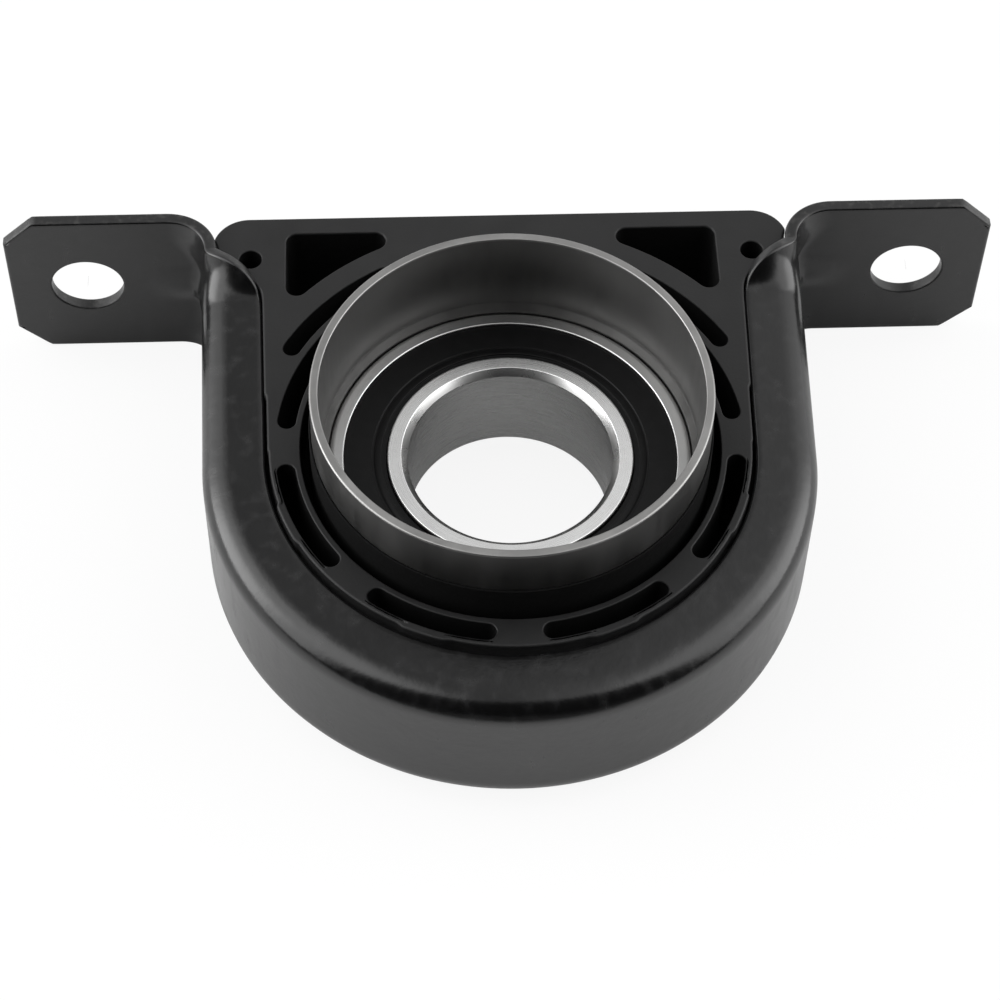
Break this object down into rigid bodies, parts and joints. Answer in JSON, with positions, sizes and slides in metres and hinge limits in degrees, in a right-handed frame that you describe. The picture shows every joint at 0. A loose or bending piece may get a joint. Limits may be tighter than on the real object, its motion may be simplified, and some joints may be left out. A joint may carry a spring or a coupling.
{
  "type": "driveshaft centre bearing",
  "caption": "Sealed ball bearing in a slotted rubber cushion, carried by a U-shaped pressed steel strap with a bolted ear on each side, to hold up the middle of a driveshaft.",
  "frame": {"origin": "middle of the bearing, on the axis of its bore", "axes": "+Z along the bearing axis to the long front skirt, +Y towards the mounting face of the ears, X from ear to ear"},
  "size_m": [0.178, 0.103, 0.0474],
  "materials": {
    "black_paint": "satin black paint on pressed steel",
    "cushion_rubber": "matt black moulded rubber",
    "sleeve_steel": "dark phosphated steel with a bare rim",
    "race_steel": "ground bearing steel",
    "seal_rubber": "smooth black rubber",
    "cage_steel": "pressed sheet steel",
    "ball_steel": "polished bearing steel"
  },
  "bodies": {
    "housing": {"bracket": "black_paint", "rubber_cushion": "cushion_rubber", "bearing_sleeve": "sleeve_steel", "outer_race": "race_steel", "seal_front": "seal_rubber", "seal_rear": "seal_rubber"},
    "inner_ring": {"inner_race": "race_steel"},
    "ball_set": {"cage_front": "cage_steel", "cage_rear": "cage_steel", "ball_01": "ball_steel", "ball_02": "ball_steel", "ball_03": "ball_steel", "ball_04": "ball_steel", "ball_05": "ball_steel", "ball_06": "ball_steel", "ball_07": "ball_steel", "ball_08": "ball_steel", "ball_09": "ball_steel", "ball_10": "ball_steel", "ball_11": "ball_steel", "rivet_01": "cage_steel", "rivet_02": "cage_steel", "rivet_03": "cage_steel", "rivet_04": "cage_steel", "rivet_05": "cage_steel", "rivet_06": "cage_steel", "rivet_07": "cage_steel", "rivet_08": "cage_steel", "rivet_09": "cage_steel", "rivet_10": "cage_steel", "rivet_11": "cage_steel"}
  },
  "joints": [
    {"name": "inner_spin", "type": "hinge", "parent": "housing", "child": "inner_ring", "pos_m": [0, 0, 0], "axis": [0, 0, 1], "continuous": true},
    {"name": "cage_spin", "type": "hinge", "parent": "housing", "child": "ball_set", "pos_m": [0, 0, 0], "axis": [0, 0, 1], "continuous": true}
  ],
  "couplings": [
    {"joint": "cage_spin", "follows": "inner_spin", "ratio": 0.41816}
  ]
}
